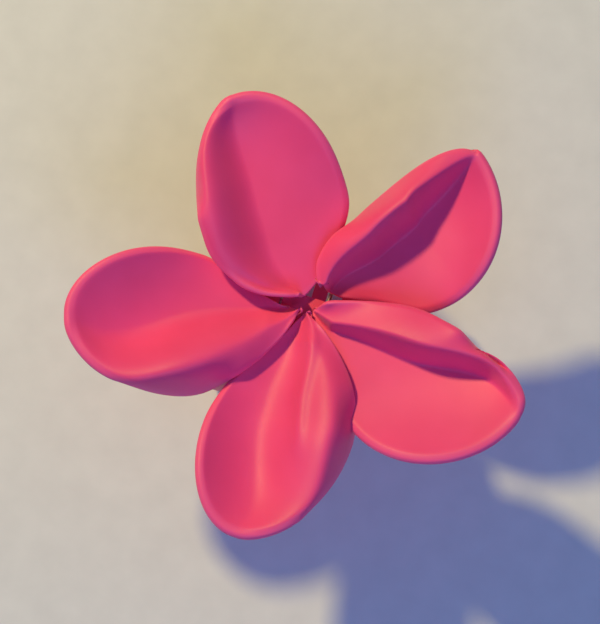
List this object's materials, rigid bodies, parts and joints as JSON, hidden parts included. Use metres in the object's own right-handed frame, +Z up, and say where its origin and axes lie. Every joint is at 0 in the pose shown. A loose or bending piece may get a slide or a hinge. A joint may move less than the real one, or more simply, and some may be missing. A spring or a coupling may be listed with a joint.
{
  "type": "flower hair clip",
  "caption": "Claw hair clip: two curved tooth combs hinged on a sprung pin, carrying a cupped plumeria flower whose petals are the finger grips.",
  "frame": {"origin": "on the surface that the closed clip stands on, straight under the hinge pin, at the middle tooth's sole", "axes": "+X along the hinge pin, -Y towards the front petal, +Z up, out of the flower"},
  "size_m": [0.0833, 0.0797, 0.0529],
  "materials": {
    "petal_plastic": "soft-touch matte, moulded",
    "comb_plastic": "soft-touch matte, moulded",
    "pin_steel": "drawn wire",
    "spring_steel": "drawn spring wire"
  },
  "bodies": {
    "front_half": {"petal_3": "petal_plastic", "petal_4": "petal_plastic", "petal_5": "petal_plastic", "front_comb": "comb_plastic", "hinge_pin": "pin_steel", "torsion_spring": "spring_steel"},
    "rear_half": {"petal_1": "petal_plastic", "petal_2": "petal_plastic", "rear_comb": "comb_plastic"}
  },
  "joints": [
    {"name": "clip_hinge", "type": "hinge", "parent": "front_half", "child": "rear_half", "pos_m": [0, 0, 0.0365], "axis": [1, 0, 0], "range_deg": [0, 22], "stiffness_Nm_per_rad": 0.15, "springref_deg": -34.38, "deforming": ["torsion_spring"]}
  ]
}
